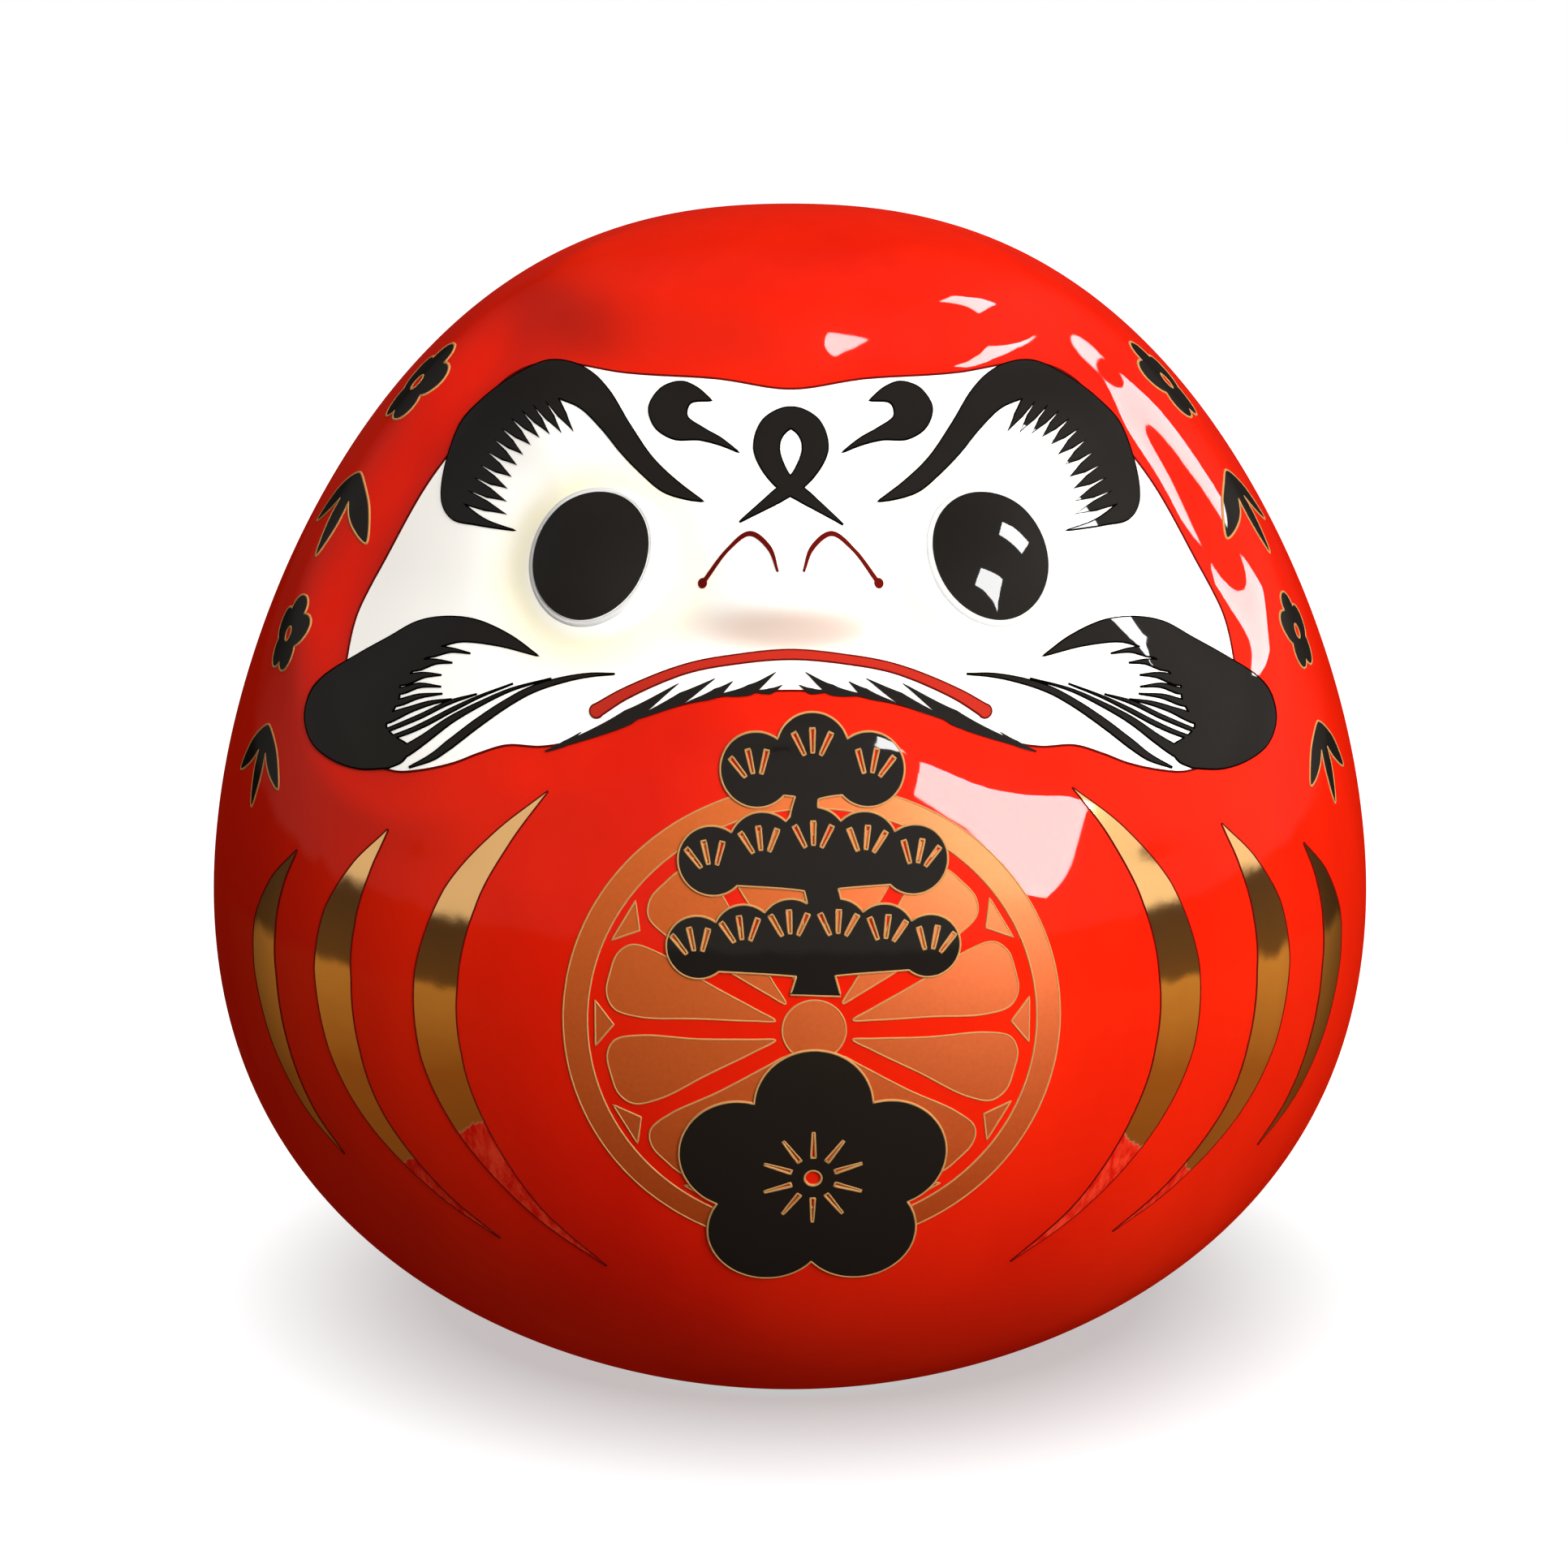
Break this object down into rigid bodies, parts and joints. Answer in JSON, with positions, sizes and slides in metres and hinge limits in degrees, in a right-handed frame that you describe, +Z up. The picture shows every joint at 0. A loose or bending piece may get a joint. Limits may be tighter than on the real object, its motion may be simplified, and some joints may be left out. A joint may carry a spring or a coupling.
{
  "type": "daruma doll",
  "caption": "Egg-shaped glazed ceramic daruma doll with a painted frowning face, gold robe stripes and a belly crest; hollow, with a coin slot in its back and a pull-out stopper in its base.",
  "frame": {"origin": "middle of the footprint, on the surface that the doll stands on, in the middle of its bounding box's underside", "axes": "+Z up, +X to the viewer's right, the face looks along -Y and the coin slot is at +Y"},
  "size_m": [0.1938, 0.185, 0.1954],
  "materials": {
    "red_glaze": "bright vermilion glaze, fired glossy",
    "white_enamel": "glossy warm white enamel",
    "black_enamel": "glossy black enamel transfer",
    "crimson_enamel": "glossy crimson enamel line",
    "gold_lustre": "mirror-bright fired gold lustre",
    "crest_gold": "satin bronze-gold transfer",
    "stopper_vinyl": "soft translucent vinyl, satin",
    "pad_foam": "matte closed-cell foam"
  },
  "bodies": {
    "doll": {"body_shell": "red_glaze", "foot_pad_1": "pad_foam", "foot_pad_2": "pad_foam", "foot_pad_3": "pad_foam", "foot_pad_4": "pad_foam", "face_panel": "white_enamel", "left_pupil": "black_enamel", "right_pupil": "black_enamel", "left_eyebrow": "black_enamel", "right_eyebrow": "black_enamel", "left_brow_comma": "black_enamel", "right_brow_comma": "black_enamel", "left_chin_beard": "black_enamel", "right_chin_beard": "black_enamel", "left_whiskers": "black_enamel", "right_whiskers": "black_enamel", "left_nostril_line": "crimson_enamel", "right_nostril_line": "crimson_enamel", "mouth_line": "crimson_enamel", "brow_loop": "black_enamel", "crest_ring": "crest_gold", "crest_rosette": "crest_gold", "pine_emblem": "black_enamel", "plum_emblem": "black_enamel", "left_inner_robe_stripe": "gold_lustre", "right_inner_robe_stripe": "gold_lustre", "left_middle_robe_stripe": "gold_lustre", "right_middle_robe_stripe": "gold_lustre", "left_outer_robe_stripe": "gold_lustre", "right_outer_robe_stripe": "gold_lustre", "left_plum_mark_1": "black_enamel", "left_bamboo_mark_2": "black_enamel", "left_plum_mark_3": "black_enamel", "left_bamboo_mark_4": "black_enamel", "right_plum_mark_1": "black_enamel", "right_bamboo_mark_2": "black_enamel", "right_plum_mark_3": "black_enamel", "right_bamboo_mark_4": "black_enamel"},
    "stopper": {"base_stopper": "stopper_vinyl"}
  },
  "joints": [
    {"name": "stopper_pull", "type": "slide", "parent": "doll", "child": "stopper", "axis": [0, 0, -1], "range_m": [0, 0.022]}
  ]
}
